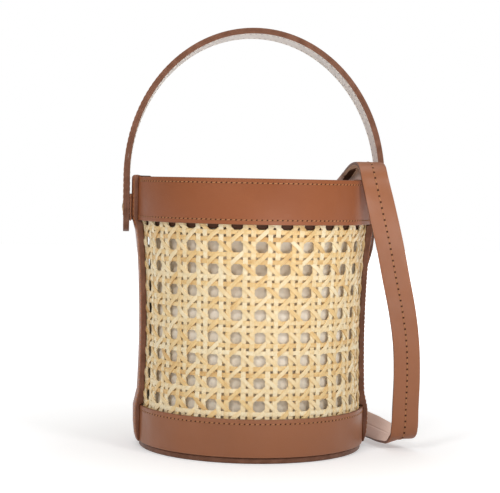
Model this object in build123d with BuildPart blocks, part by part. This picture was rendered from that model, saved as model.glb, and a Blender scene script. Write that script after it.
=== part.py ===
"""Barrel bag: a round leather bucket with caned walls, a riveted top handle and a shoulder strap.

Millimetres, +Z up. The origin is the centre of the underside of the base, X runs from one handle
rivet to the other, and the front faces -Y.
"""

import math
import os

from build123d import *

# Driving dimensions of the body
RIM_Z = 182.3
BASE_R = 75.9
BASE_T = 4.0
BASE_EDGE = 0.9
LOWER_BAND_R = 77.3
LOWER_BAND_TOP = 28.7
LOWER_BAND_T = 1.6
UPPER_BAND_R = 80.5
UPPER_BAND_LOW = 152.9
UPPER_BAND_T = 2.5
BAND_EDGE = 0.5

# Caned wall: a gently waisted drum, woven on a grid of 30 columns
CANE_WAIST_R = 74.1
CANE_WAIST_Z = 76.0
CANE_TOP_R = 77.6
CANE_LOW = 22.5
CANE_TOP = 157.0
CANE_T = 1.6
CANE_RIDGE = 0.5
CANE_FLANK = 0.4
CANE_INNER_HEIGHTS = (CANE_LOW, 48.0, CANE_WAIST_Z, 105.0, 130.0, CANE_TOP)
CANE_COLUMNS = 30
CANE_PANEL_COLUMNS = 13
CANE_ROWS = 9
CANE_ROW_PITCH = 14.56
CANE_FIRST_ROW = 36.7
CANE_HOLE = 8.3
CANE_COLUMN_SHIFT = -1.3

# Side strips that cover the seams and fold over the rim
STRIP_HALF_ANGLE = 10.9
STRIP_T = 3.0
STRIP_OVER_RIM = 1.2
STRIP_INNER_T = 1.5
STRIP_LOW = 2.0
STRIP_INNER_LOW = 150.0

# Facing inside the rim, lining and stiffener
FACING_IN_R = 73.4
FACING_LOW = 150.0
FACING_STEP = 158.0
BACKING_GAP = 0.85
BACKING_T = 0.8
LINER_R = 70.6
LINER_T = 0.8
LINER_TOP = 160.0
BOARD_R = 70.0
BOARD_T = 2.0

# Handle: two laminated straps bent to half an ellipse over straight legs
RIVET_Z = 161.4
HANDLE_R = 88.9
HANDLE_RISE = 102.6
HANDLE_PLY = 2.0
HANDLE_W = 19.0
HANDLE_LEAN = 6.0
LEG_TAIL = 7.0

# Rivets
POST_R = 2.0
BORE_R = 2.05
HEAD_R = 3.2
HEAD_T = 0.9
CAP_R = 3.6
CAP_T = 1.0

# Shoulder strap
STRAP_W = 18.0
STRAP_T = 2.3
STRAP_END_T = 1.1
STRAP_FACE_X = 84.15
STRAP_STEPS = 2

os.makedirs("parts", exist_ok=True)


def save(part, name):
    part.label = name
    export_step(part, f"parts/{name}.step")
    print(name, "volume", round(part.volume, 1))


def cane_radius(z):
    """Outer radius of the caned wall at a height."""
    rise = (z - CANE_WAIST_Z) / (CANE_TOP - CANE_WAIST_Z)
    return CANE_WAIST_R + (CANE_TOP_R - CANE_WAIST_R) * rise**2


def section_plane(angle):
    """Upright plane through the axis at an angle about +Z, with its x pointing outwards."""
    turned = math.radians(angle)
    return Plane(
        origin=(0, 0, 0),
        x_dir=(math.cos(turned), math.sin(turned), 0),
        z_dir=(math.sin(turned), -math.cos(turned), 0),
    )


def rivet_plane():
    """Plane square to the rivets' axis, with its x along +Y."""
    return Plane(origin=(0, 0, RIVET_Z), x_dir=(0, 1, 0), z_dir=(1, 0, 0))


# Base: the outer leather disc, then the stiffener that lies in it
with BuildPart() as base_disc:
    Cylinder(BASE_R, BASE_T, align=(Align.CENTER, Align.CENTER, Align.MIN))
    chamfer(base_disc.edges().group_by(Axis.Z)[0], BASE_EDGE)
save(base_disc.part, "base_disc")

with BuildPart() as base_board:
    with BuildSketch(Plane.XY.offset(BASE_T)):
        Circle(BOARD_R)
    extrude(amount=BOARD_T)
save(base_board.part, "base_board")


# Leather bands: each is two half rings that butt under the side strips
def band_half(low, high, outer, thickness, start):
    with BuildPart() as band:
        with BuildSketch(section_plane(start)):
            with Locations((outer - thickness / 2, (low + high) / 2)):
                Rectangle(thickness, high - low)
        revolve(axis=Axis.Z, revolution_arc=179.9)
        outer_edges = band.edges().filter_by(GeomType.CIRCLE).filter_by(
            lambda edge: abs(edge.radius - outer) < 0.01
        )
        chamfer(outer_edges, BAND_EDGE)
        with BuildSketch(rivet_plane()):
            Circle(BORE_R)
        extrude(amount=2 * outer, both=True, mode=Mode.SUBTRACT)
    return band.part


for side, start in (("front", 180.05), ("back", 0.05)):
    lower = band_half(BASE_T, LOWER_BAND_TOP, LOWER_BAND_R, LOWER_BAND_T, start)
    save(lower, f"lower_band_{side}")
    upper = band_half(UPPER_BAND_LOW, RIM_Z, UPPER_BAND_R, UPPER_BAND_T, start)
    save(upper, f"upper_band_{side}")


# Caned panels: the wall has a flat for each column of the weave, and hoops of paired strands stand
# out between the rows of eight-sided holes
def cane_outside():
    """Heights and radii up the ridged outside of the wall."""
    half_gap = CANE_HOLE / 2 + 0.3
    steps = [(CANE_LOW, cane_radius(CANE_LOW))]
    for row in range(CANE_ROWS):
        middle = CANE_FIRST_ROW + row * CANE_ROW_PITCH
        for z, sunk in ((middle - half_gap, False), (middle + half_gap, True)):
            if z < CANE_TOP:
                flank = (z + CANE_FLANK, cane_radius(z)) if sunk else (z - CANE_FLANK, cane_radius(z))
                floor = (z, cane_radius(z) - CANE_RIDGE)
                steps += [floor, flank] if sunk else [flank, floor]
    steps.append((CANE_TOP, cane_radius(CANE_TOP) - CANE_RIDGE))
    return steps


def column_angle(column):
    """Angle about +Z of a column of holes, counted from the middle of the front."""
    return CANE_COLUMN_SHIFT - 90.0 + column * 360 / CANE_COLUMNS


with BuildPart() as cane_wall:
    for z, radius in cane_outside():
        with BuildSketch(Plane.XY.offset(z)):
            RegularPolygon(radius, CANE_COLUMNS, rotation=column_angle(0.5))
    loft(ruled=True)
    for z in CANE_INNER_HEIGHTS:
        with BuildSketch(Plane.XY.offset(z)):
            RegularPolygon(cane_radius(z) - CANE_T, CANE_COLUMNS, rotation=column_angle(0.5))
    loft(ruled=True, mode=Mode.SUBTRACT)
    side_columns = (CANE_PANEL_COLUMNS - 1) // 2
    hole_planes = []
    for turn in (0, CANE_COLUMNS // 2):
        for column in range(turn - side_columns, turn + side_columns + 1):
            turned = math.radians(column_angle(column))
            out = Vector(math.cos(turned), math.sin(turned), 0)
            across = Vector(-math.sin(turned), math.cos(turned), 0)
            for row in range(CANE_ROWS):
                middle = CANE_FIRST_ROW + row * CANE_ROW_PITCH
                centre = out * (CANE_WAIST_R - 8) + Vector(0, 0, middle)
                hole_planes.append(Plane(origin=centre, x_dir=across, z_dir=out))
    with BuildSketch(*hole_planes):
        RegularPolygon(CANE_HOLE / 2, 8, major_radius=False, rotation=22.5)
    extrude(amount=16, mode=Mode.SUBTRACT)

for side, sign in (("front", 1), ("back", -1)):
    cut = Plane(origin=(0, -0.05 * sign, 0), x_dir=(1, 0, 0), z_dir=(0, -sign, 0))
    with BuildPart() as cane_panel:
        add(cane_wall.part)
        split(bisect_by=cut, keep=Keep.TOP)
    save(cane_panel.part, f"cane_panel_{side}")


# Rim facing: a stepped leather ring that closes the rim on the inside
with BuildPart() as rim_facing:
    cane_gap_r = UPPER_BAND_R - UPPER_BAND_T
    thin_r = cane_radius(FACING_LOW) - CANE_T - 0.5
    with BuildSketch(section_plane(0)):
        with BuildLine():
            Polyline(
                (FACING_IN_R, FACING_LOW),
                (thin_r, FACING_LOW),
                (thin_r, FACING_STEP),
                (cane_gap_r, FACING_STEP),
                (cane_gap_r, RIM_Z),
                (FACING_IN_R, RIM_Z),
                close=True,
            )
        make_face()
    revolve(axis=Axis.Z)
    with BuildSketch(rivet_plane()):
        Circle(BORE_R)
    extrude(amount=UPPER_BAND_R, both=True, mode=Mode.SUBTRACT)
save(rim_facing.part, "rim_facing")


# Side strips: one leather strip up each seam, over the rim and down inside it
def side_strip(middle_angle):
    gap = 0.05
    band_out = LOWER_BAND_R + gap
    rim_out = UPPER_BAND_R + gap
    wall = [(cane_radius(z) + 2 * gap, z) for z in (44.0, 92.0, 144.0)]
    top = RIM_Z + STRIP_OVER_RIM
    inner_r = FACING_IN_R - STRIP_INNER_T
    shoulder = rim_out + STRIP_T - 0.1
    with BuildPart() as strip:
        with BuildSketch(section_plane(middle_angle - STRIP_HALF_ANGLE)):
            with BuildLine():
                Polyline((band_out, STRIP_LOW + 2.1), (band_out, LOWER_BAND_TOP + 1.0), wall[0])
                waist = ThreePointArc(*wall)
                Polyline(waist @ 1, (rim_out, UPPER_BAND_LOW), (rim_out, RIM_Z + gap))
                Polyline(
                    (rim_out, RIM_Z + gap),
                    (FACING_IN_R - gap, RIM_Z + gap),
                    (FACING_IN_R - gap, STRIP_INNER_LOW),
                    (inner_r, STRIP_INNER_LOW),
                    (inner_r, top - 0.8),
                    (inner_r + 0.8, top),
                    (shoulder - 2.2, top),
                    (shoulder - 0.6, top - 0.7),
                    (shoulder, top - 2.2),
                    (shoulder, UPPER_BAND_LOW + 3.0),
                    (wall[2][0] + STRIP_T + 0.6, 142.0),
                )
                outside = ThreePointArc(
                    (wall[2][0] + STRIP_T + 0.6, 142.0),
                    (wall[1][0] + STRIP_T - 0.2, 88.0),
                    (wall[0][0] + STRIP_T, 44.0),
                )
                Polyline(
                    outside @ 1,
                    (band_out + STRIP_T, LOWER_BAND_TOP - 6.0),
                    (band_out + STRIP_T - 0.6, STRIP_LOW + 5.0),
                    (band_out + STRIP_T - 2.0, STRIP_LOW + 2.1),
                    (band_out, STRIP_LOW + 2.1),
                )
            make_face()
        revolve(axis=Axis.Z, revolution_arc=2 * STRIP_HALF_ANGLE)
        with BuildSketch(rivet_plane()):
            Circle(BORE_R)
        extrude(amount=2 * UPPER_BAND_R, both=True, mode=Mode.SUBTRACT)
    return strip.part


save(side_strip(180.0), "side_strip_left")
save(side_strip(0.0), "side_strip_right")


# Seam backings: a thin strip behind each seam, between the caned wall and the lining
def seam_backing(middle_angle):
    heights = (30.0, CANE_WAIST_Z, 112.0, 148.0)
    outer = [(cane_radius(z) - CANE_T - BACKING_GAP, z) for z in heights]
    inner = [(radius - BACKING_T, z) for radius, z in reversed(outer)]
    with BuildPart() as backing:
        with BuildSketch(section_plane(middle_angle - STRIP_HALF_ANGLE + 1.5)):
            with BuildLine():
                Polyline(*outer, *inner, close=True)
            make_face()
        revolve(axis=Axis.Z, revolution_arc=2 * (STRIP_HALF_ANGLE - 1.5))
    return backing.part


save(seam_backing(180.0), "seam_backing_left")
save(seam_backing(0.0), "seam_backing_right")


# Lining: a cloth tube tucked under the facing, and its own floor
with BuildPart() as liner_wall:
    tuck_r = FACING_IN_R - STRIP_INNER_T - 0.1
    with BuildSketch(section_plane(0)):
        with BuildLine():
            Polyline(
                (LINER_R, BASE_T + BOARD_T),
                (LINER_R, FACING_LOW - 6),
                (tuck_r, FACING_LOW - 1),
                (tuck_r, LINER_TOP),
                (tuck_r - LINER_T, LINER_TOP),
                (tuck_r - LINER_T, FACING_LOW - 1),
                (LINER_R - LINER_T, FACING_LOW - 6),
                (LINER_R - LINER_T, BASE_T + BOARD_T),
                close=True,
            )
        make_face()
    revolve(axis=Axis.Z)
    with BuildSketch(rivet_plane()):
        Circle(CAP_R + 0.2)
    extrude(amount=UPPER_BAND_R, both=True, mode=Mode.SUBTRACT)
save(liner_wall.part, "liner_wall")

with BuildPart() as liner_floor:
    with BuildSketch(Plane.XY.offset(BASE_T + BOARD_T)):
        Circle(LINER_R - LINER_T - 0.05)
    extrude(amount=LINER_T)
save(liner_floor.part, "liner_floor")


# Handle: each ply is a bent strap with round-ended legs, drilled for the rivets
def handle_ply(outer_r, outer_rise):
    lean = math.radians(HANDLE_LEAN)
    face = Plane(
        origin=(0, 0, RIVET_Z),
        x_dir=(1, 0, 0),
        z_dir=(0, -math.cos(lean), math.sin(lean)),
    )
    shoulder = RIM_Z - RIVET_Z
    foot = -(HANDLE_W / 2 + LEG_TAIL)
    inner_r = outer_r - HANDLE_PLY
    inner_rise = outer_rise - HANDLE_PLY
    with BuildPart() as ply:
        with BuildSketch(face):
            with BuildLine():
                Line((-outer_r, foot), (-outer_r, shoulder))
                EllipticalCenterArc((0, shoulder), outer_r, outer_rise, 0, arc_size=180)
                EllipticalCenterArc((0, shoulder), inner_r, inner_rise, 0, arc_size=180)
                Line((outer_r, shoulder), (outer_r, foot))
                Line((outer_r, foot), (inner_r, foot))
                Line((inner_r, foot), (inner_r, shoulder))
                Line((-inner_r, shoulder), (-inner_r, foot))
                Line((-inner_r, foot), (-outer_r, foot))
            make_face()
        extrude(amount=HANDLE_W / 2, both=True)
        corner = HANDLE_W / 2 - 0.01
        foot_edges = ply.edges().filter_by(Axis.X).filter_by(
            lambda edge: edge.length < 2 * HANDLE_PLY
        )
        fillet(foot_edges.sort_by(Axis.Z)[:4], corner)
        with BuildSketch(rivet_plane()):
            Circle(BORE_R)
        extrude(amount=2 * outer_r, both=True, mode=Mode.SUBTRACT)
    return ply.part


save(handle_ply(HANDLE_R, HANDLE_RISE), "handle_outer")
save(handle_ply(HANDLE_R - HANDLE_PLY, HANDLE_RISE - HANDLE_PLY), "handle_inner")


# Rivets: a domed head and post from outside, a shallow cap on the inside
def rivet(sign):
    """Head and post, turned about the rivet axis, for the side given by sign."""
    head_x = HANDLE_R + 0.05
    cap_x = FACING_IN_R - STRIP_INNER_T - 0.25
    with BuildPart() as post:
        with BuildSketch(Plane.XZ):
            with BuildLine():
                Polyline(
                    (sign * cap_x, RIVET_Z),
                    (sign * cap_x, RIVET_Z + POST_R),
                    (sign * head_x, RIVET_Z + POST_R),
                    (sign * head_x, RIVET_Z + HEAD_R),
                    (sign * (head_x + 0.4 * HEAD_T), RIVET_Z + 0.9 * HEAD_R),
                    (sign * (head_x + HEAD_T), RIVET_Z + 0.35 * HEAD_R),
                    (sign * (head_x + HEAD_T), RIVET_Z),
                    close=True,
                )
            make_face()
        axis = Axis((0, 0, RIVET_Z), (1, 0, 0))
        revolve(axis=axis)
    with BuildPart() as cap:
        with BuildSketch(Plane(origin=(sign * cap_x, 0, RIVET_Z), z_dir=(-sign, 0, 0))):
            Circle(CAP_R)
        extrude(amount=CAP_T, taper=20)
    return post.part, cap.part


for side, sign in (("left", -1), ("right", 1)):
    post, cap = rivet(sign)
    save(post, f"rivet_{side}")
    save(cap, f"rivet_cap_{side}")


# Shoulder strap: stations of a flat ribbon from the left rivet round the back, over the rim, down
# the front right, along the floor behind the bag, back on itself and up to the right rivet. Each
# station is a point on the ribbon's middle and the way its outer face looks.
def on_drum(angle, radius, z, tilt=0.0):
    """Station on the outside of the bag, with its face tilted up from level by tilt."""
    turned = math.radians(angle)
    up = math.radians(tilt)
    out = (math.cos(turned), math.sin(turned))
    point = (radius * out[0], radius * out[1], z)
    face = (math.cos(up) * out[0], math.cos(up) * out[1], math.sin(up))
    return point, face


FRONT = (-0.096, -0.995, 0.0)
STRAP_ROUTE = [
    ((-STRAP_FACE_X, -9.3, RIVET_Z), (-1, 0, 0)),
    ((-STRAP_FACE_X, 0.0, RIVET_Z), (-1, 0, 0)),
    ((-STRAP_FACE_X, 10.0, RIVET_Z), (-1, 0.03, 0)),
    on_drum(168.5, 85.1, RIVET_Z),
    on_drum(157, 83.5, 161.4),
    on_drum(145, 82.6, 161.6),
    on_drum(130, 82.6, 162.2),
    on_drum(110, 82.6, 162.6),
    on_drum(90, 82.7, 163.2),
    on_drum(72, 82.8, 164.0),
    on_drum(58, 83.0, 165.2),
    on_drum(46.5, 83.9, 167.8, 4),
    on_drum(37.5, 85.0, 172.8, 18),
    on_drum(29.5, 84.4, 180.8, 46),
    ((74.5, 26.5, 186.4), (0.12, 0.15, 1)),
    ((74.3, 8.0, 190.8), (0, 0, 1)),
    ((74.1, -11.0, 193.2), (0, 0, 1)),
    ((74.0, -28.5, 193.6), (0, -0.12, 1)),
    ((74.1, -41.0, 191.0), (0.03, -0.6, 0.8)),
    ((75.2, -48.4, 181.5), (0.1, -1, 0.24)),
    ((80.4, -49.0, 161.0), (-0.02, -1, 0.0)),
    ((86.1, -46.2, 140.0), FRONT),
    ((91.5, -42.2, 118.0), FRONT),
    ((96.8, -38.8, 96.0), FRONT),
    ((100.6, -35.4, 74.5), FRONT),
    ((102.3, -32.2, 52.5), FRONT),
    ((102.4, -29.8, 31.0), FRONT),
    ((102.4, -28.4, 16.4), (-0.1, -1, -0.12)),
    ((101.6, -24.6, 9.4), (0.15, -0.72, -0.7)),
    ((98.6, -15.6, 7.4), (0.38, -0.05, -0.95)),
    ((92.6, 1.0, 8.6), (0.52, 0.15, -0.83)),
    ((86.0, 21.5, 10.0), (0.66, 0.27, -0.70)),
    ((79.0, 41.5, 10.4), (0.76, 0.4, -0.5)),
    ((67.5, 61.0, 10.4), (0.72, 0.65, -0.25)),
    ((50.0, 79.0, 10.5), (0.55, 0.83, -0.05)),
    ((28.0, 92.0, 10.6), (0.35, 0.94, 0)),
    ((6.0, 98.6, 10.6), (0.12, 0.99, 0)),
    ((-8.0, 98.0, 10.6), (-0.45, 0.9, 0)),
    ((-13.2, 90.5, 10.6), (-1, 0, 0)),
    ((-8.4, 83.4, 10.8), (-0.45, -0.9, 0)),
    ((4.0, 80.6, 12.0), (0, -1, 0)),
    ((20.0, 78.0, 19.0), (-0.26, -0.97, 0)),
    ((36.0, 72.2, 33.5), (-0.45, -0.89, 0)),
    ((51.0, 63.2, 54.0), (-0.63, -0.78, 0)),
    ((64.0, 51.5, 79.0), (-0.78, -0.63, 0)),
    ((74.6, 37.6, 107.0), (-0.89, -0.45, 0)),
    ((81.6, 22.8, 133.0), (-0.97, -0.22, 0)),
    ((STRAP_FACE_X - 0.1, 9.6, 151.0), (-1, -0.02, 0)),
    ((STRAP_FACE_X, 0.0, RIVET_Z), (-1, 0, 0)),
    ((STRAP_FACE_X, -5.2, 167.0), (-1, 0, 0)),
]
THIN_STATIONS = 3


def blended(a, b, c, d, t):
    """Point a share t of the way from b to c on the smooth curve through a, b, c and d."""
    return (
        b * 2 + (c - a) * t + (a * 2 - b * 5 + c * 4 - d) * t**2 + (b * 3 - a - c * 3 + d) * t**3
    ) * 0.5


def strap_sections():
    """Planes across the ribbon, x along its width and y out of its face, with its thickness."""
    points = [Vector(*point) for point, _ in STRAP_ROUTE]
    faces = [Vector(*face).normalized() for _, face in STRAP_ROUTE]
    last = len(points) - 1
    stops = []
    for index in range(last):
        before, after = max(index - 1, 0), min(index + 2, last)
        thin = index < THIN_STATIONS or index >= last - THIN_STATIONS
        for step in range(STRAP_STEPS):
            share = step / STRAP_STEPS
            middle = blended(points[before], points[index], points[index + 1], points[after], share)
            face = faces[index] * (1 - share) + faces[index + 1] * share
            stops.append((middle, face, STRAP_END_T if thin else STRAP_T))
    stops.append((points[last], faces[last], STRAP_END_T))
    sections = []
    for index, (middle, face, thickness) in enumerate(stops):
        before = stops[max(index - 1, 0)][0]
        after = stops[min(index + 1, len(stops) - 1)][0]
        along = (after - before).normalized()
        across = face.cross(along).normalized()
        sections.append((Plane(origin=middle, x_dir=across, z_dir=along), thickness))
    return sections


with BuildPart() as shoulder_strap:
    length = 0.0
    previous = None
    for plane, thickness in strap_sections():
        with BuildSketch(plane):
            Rectangle(STRAP_W, thickness)
        if previous is not None:
            length += (plane.origin - previous).length
        previous = plane.origin
    loft(ruled=True)
    with BuildSketch(rivet_plane()):
        Circle(BORE_R)
    extrude(amount=STRAP_FACE_X + 3, both=True, mode=Mode.SUBTRACT)
save(shoulder_strap.part, "shoulder_strap")
print("strap length", round(length, 1))
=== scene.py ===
"""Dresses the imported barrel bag: leather, woven cane, stitches, lining, handle, strap and a pale stage."""

import math
import random
from bisect import bisect_right
from collections import Counter

import bmesh
import bpy
from bpy.props import FloatProperty, FloatVectorProperty, IntProperty, PointerProperty
from mathutils import Matrix, Vector, noise


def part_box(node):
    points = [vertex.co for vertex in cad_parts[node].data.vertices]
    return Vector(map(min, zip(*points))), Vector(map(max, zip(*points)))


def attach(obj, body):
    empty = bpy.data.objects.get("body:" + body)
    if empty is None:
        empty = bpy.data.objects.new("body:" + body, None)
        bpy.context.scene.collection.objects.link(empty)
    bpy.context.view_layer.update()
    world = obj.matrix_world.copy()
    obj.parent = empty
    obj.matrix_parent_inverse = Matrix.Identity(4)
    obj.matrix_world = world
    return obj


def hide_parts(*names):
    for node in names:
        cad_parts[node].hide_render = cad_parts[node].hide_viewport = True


bl_info = {
    "name": "Barrel bag",
    "version": (1, 0, 0),
    "blender": (4, 5, 0),
    "location": "View3D > Sidebar > Barrel bag",
    "description": "Builds the leather, cane, lining, handle and strap of a round bag",
    "category": "Object",
}

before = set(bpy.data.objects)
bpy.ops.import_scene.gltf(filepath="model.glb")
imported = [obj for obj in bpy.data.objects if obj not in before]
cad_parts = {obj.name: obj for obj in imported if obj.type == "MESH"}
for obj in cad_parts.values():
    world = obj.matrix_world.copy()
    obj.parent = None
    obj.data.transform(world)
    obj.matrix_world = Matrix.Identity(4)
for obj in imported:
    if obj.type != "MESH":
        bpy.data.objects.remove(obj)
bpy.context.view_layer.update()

MM = 0.001
UP = Vector((0, 0, 1))

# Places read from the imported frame
RIM_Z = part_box("upper_band_front")[1].z
UPPER_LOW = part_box("upper_band_front")[0].z
UPPER_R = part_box("upper_band_front")[1].x
LOWER_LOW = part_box("lower_band_front")[0].z
LOWER_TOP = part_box("lower_band_front")[1].z
LOWER_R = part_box("lower_band_front")[1].x
BASE_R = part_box("base_disc")[1].x
BASE_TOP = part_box("base_disc")[1].z
FLOOR_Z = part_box("base_board")[1].z
RIVET_Z = (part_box("rivet_right")[0].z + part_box("rivet_right")[1].z) / 2
RIVET_HEAD_R = (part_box("rivet_right")[1].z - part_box("rivet_right")[0].z) / 2
HANDLE_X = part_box("handle_outer")[1].x

# Left between pieces that lie on each other
GAP = 0.05 * MM


def length_prop(name, description, default):
    return FloatProperty(
        name=name, description=description, default=default, unit="LENGTH", subtype="DISTANCE"
    )


def angle_prop(name, description, degrees):
    return FloatProperty(
        name=name, description=description, default=math.radians(degrees), subtype="ANGLE"
    )


def colour_prop(name, description, default):
    return FloatVectorProperty(
        name=name, description=description, default=default, size=3, min=0, max=1, subtype="COLOR"
    )


class BodySizes(bpy.types.PropertyGroup):
    upper_t: length_prop("Upper band", "Thickness of the upper band", 2.5 * MM)
    lower_t: length_prop("Lower band", "Thickness of the lower band", 1.6 * MM)
    edge_round: length_prop("Edge rounding", "Rounding of the leather's edges", 0.5 * MM)
    edge_paint: length_prop("Painted edge", "How far the edge paint reaches over a band's face", 0.35 * MM)
    base_round: length_prop("Base rounding", "Rounding of the base's edge", 1.1 * MM)
    facing_r: length_prop("Facing", "Inner radius of the rim facing", 73.4 * MM)
    facing_low: length_prop("Facing depth", "Height of the facing's lower edge", 150.0 * MM)
    facing_step: length_prop("Facing step", "Height above which the facing fills the band", 158.0 * MM)
    facing_gap: length_prop("Facing gap", "From the wall's radius to the facing's lower part", 2.1 * MM)
    strip_t: length_prop("Side strip", "Thickness of the side strips", 3.0 * MM)
    strip_half: angle_prop("Side strip width", "Half the angle that a side strip covers", 10.9)
    strip_low: length_prop("Side strip foot", "Height of a side strip's lower end", 4.1 * MM)


class CaneSizes(bpy.types.PropertyGroup):
    waist_r: length_prop("Waist", "Radius of the wall at its waist", 74.1 * MM)
    waist_z: length_prop("Waist height", "Height of the waist", 76.0 * MM)
    top_r: length_prop("Top", "Radius of the wall at its top", 78.0 * MM)
    low: length_prop("Low end", "Height of the strands' lower ends", 22.5 * MM)
    high: length_prop("High end", "Height of the strands' upper ends", 157.0 * MM)
    row_pitch: length_prop("Row pitch", "Height from one row of holes to the next", 14.56 * MM)
    first_row: length_prop("First row", "Height of the lowest row of holes", 36.7 * MM)
    upright: length_prop("Upright", "Width of an upright strand", 3.1 * MM)
    hoop: length_prop("Hoop", "Width of a level strand", 2.8 * MM)
    diagonal: length_prop("Diagonal", "Width of a diagonal strand", 2.65 * MM)
    strand_t: length_prop("Strand thickness", "Thickness of a strand", 0.7 * MM)
    upright_pair: length_prop("Upright pair", "Distance between the two uprights of a pair", 5.0 * MM)
    hoop_pair: length_prop("Hoop pair", "Distance between the two hoops of a pair", 4.6 * MM)
    wander: length_prop("Wander", "How far a strand strays from its line", 0.2 * MM)
    weave: length_prop("Weave", "How far a paired strand bends over and under", 0.34 * MM)
    weave_diagonal: length_prop("Diagonal weave", "How far a diagonal bends over and under", 0.78 * MM)
    columns: IntProperty(name="Columns", description="Columns of holes round the whole wall", default=30)
    reach: angle_prop("Reach", "Half the angle that a panel covers", 81)
    shift: angle_prop("Column shift", "Turn of the columns about the axis", -1.3)
    inset: length_prop("Inset", "From the wall's outside to the middle of the weave", 0.8 * MM)
    crown: length_prop("Crown", "How far a strand's middle stands above its edges", 0.08 * MM)
    bend: length_prop("Bend", "Length of each straight bit that a strand bends by", 1.25 * MM)


class HandleSizes(bpy.types.PropertyGroup):
    ply: length_prop("Ply", "Thickness of each of the handle's two plies", 2.0 * MM)
    width: length_prop("Width", "Width of the handle", 19.0 * MM)
    rise: length_prop("Rise", "Height of the arch above the rim", 102.6 * MM)
    tail: length_prop("Tail", "Leg below the rivet, without its round end", 7.0 * MM)
    lean: angle_prop("Lean", "How far the handle leans back", 6.0)
    edge_round: length_prop("Edge rounding", "Rounding of the plies' edges", 0.35 * MM)


class LiningSizes(bpy.types.PropertyGroup):
    radius: length_prop("Radius", "Radius of the lining before its folds", 71.3 * MM)
    thick: length_prop("Thickness", "Thickness of the cloth", 0.5 * MM)
    high: length_prop("Hem", "Height of the hem", 159.0 * MM)
    flare: length_prop("Flare", "How far the hem reaches out to the rim facing", 1.9 * MM)
    flare_low: length_prop("Flare's foot", "Height where the cloth starts to reach out", 128.0 * MM)
    flare_high: length_prop("Flare's top", "Height where the cloth lies on the facing", 150.0 * MM)


class StrapSizes(bpy.types.PropertyGroup):
    width: length_prop("Width", "Width of the shoulder strap", 18.0 * MM)
    thick: length_prop("Thickness", "Thickness of the shoulder strap", 2.3 * MM)
    thin: length_prop("Skived end", "Thickness of the strap's ends under the handle", 1.1 * MM)
    flat_end: length_prop("Flat end", "Length of an end that stays skived", 14.0 * MM)
    taper: length_prop("Taper", "Length over which an end gains its thickness", 34.0 * MM)
    seam: length_prop("Seam", "Depth of the butt seam on the reverse", 0.22 * MM)
    gape: length_prop("Gape", "Width that the seam opens to where the strap turns over the rim", 4.4 * MM)
    gape_depth: length_prop("Gape depth", "Depth added to the seam for the share that is open", 3.2 * MM)
    gape_reach: length_prop("Gape reach", "How far the seam gapes to each side of the turn", 24.0 * MM)
    pull_reach: length_prop("Pull reach", "How far the seam is pulled aside on each side", 34.0 * MM)
    pull: FloatProperty(
        name="Pull", description="Share of half the width that the seam is pulled aside", default=-0.52
    )


class StitchSizes(bpy.types.PropertyGroup):
    band: length_prop("Band pitch", "Stitch length on the bands", 3.3 * MM)
    strip: length_prop("Strip pitch", "Stitch length on the side strips", 3.0 * MM)
    handle: length_prop("Handle pitch", "Stitch length on the handle", 3.8 * MM)
    strap: length_prop("Strap pitch", "Stitch length on the shoulder strap", 4.0 * MM)
    inset: length_prop("Inset", "From a band's edge to its row", 3.0 * MM)
    strip_inset: length_prop("Strip inset", "From a side strip's edge to its row", 1.9 * MM)
    handle_inset: length_prop("Handle inset", "From the handle's edge to its row", 2.4 * MM)
    handle_trim: length_prop("Handle trim", "From the handle's ends to its rows", 9.0 * MM)
    strap_trim: length_prop("Strap trim", "From the strap's ends to its row", 29.0 * MM)
    thread: length_prop("Thread", "Radius of the thread", 0.3 * MM)
    hole: length_prop("Needle hole", "Length of a needle hole", 1.2 * MM)
    slant: angle_prop("Slant", "Turn of each stitch off its row", 9)


class FinishColours(bpy.types.PropertyGroup):
    leather: colour_prop("Leather", "Tan face of the leather", (0.305, 0.092, 0.031))
    leather_deep: colour_prop("Leather, deep", "Darker areas of the tan leather", (0.270, 0.078, 0.026))
    # Painted sheen and light: the strap's and lower band's tan is painted lighter and paler than the rest,
    # for the floor's bounce and reflection
    leather_painted_sheen: colour_prop("Leather, light", "Tan of the strap and lower band", (0.330, 0.118, 0.048))
    reverse: colour_prop("Reverse", "Pale reverse of the leather", (0.92, 0.71, 0.61))
    # Painted light: the handle's underside is painted paler than the strap's reverse, for the bounce light
    # that the floor throws up under the handle
    underside: colour_prop("Underside", "Pale lining under the handle", (0.95, 0.90, 0.87))
    edge: colour_prop("Edge", "Painted edges", (0.168, 0.068, 0.036))
    thread: colour_prop("Thread", "Sewing thread", (0.43, 0.20, 0.085))
    pale_thread: colour_prop("Pale thread", "Thread on the handle's underside", (0.80, 0.73, 0.66))
    # Painted shade: the needle holes are flat dark marks standing for the shade inside each hole
    hole: colour_prop("Hole", "Needle holes", (0.060, 0.018, 0.007))
    cane_light: colour_prop("Cane, light", "Light strands", (0.95, 0.80, 0.53))
    cane_gold: colour_prop("Cane, golden", "Golden strands", (0.86, 0.60, 0.27))
    cane_deep: colour_prop("Cane, deep", "Deepest coloured strands", (0.62, 0.33, 0.10))
    lining: colour_prop("Lining", "Lining cloth", (0.98, 0.90, 0.78))
    metal: colour_prop("Metal", "Rivets", (0.42, 0.27, 0.14))
    # Painted shade: a dark brown for the shadow under the upper band and inside the strap's open seam
    shade: colour_prop("Shaded leather", "Raw leather behind the cane", (0.085, 0.032, 0.014))


class StageSettings(bpy.types.PropertyGroup):
    yaw: angle_prop("Yaw", "Camera's turn to the left of the front", 5.5)
    distance: length_prop("Distance", "Camera's distance from the axis", 1.03)
    height: length_prop("Height", "Camera's height", 0.180)
    aim_z: length_prop("Aim height", "Height that the camera looks at on the axis", 0.1358)
    aim_right: length_prop("Aim offset", "How far right of the axis the camera looks", -2.1 * MM)
    roll: angle_prop("Roll", "Camera's roll", 1.1)
    lens: FloatProperty(name="Lens", description="Focal length in millimetres", default=108.4)


def sizes(group):
    return getattr(bpy.context.scene, "barrel_bag_" + group)


# Materials

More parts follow.
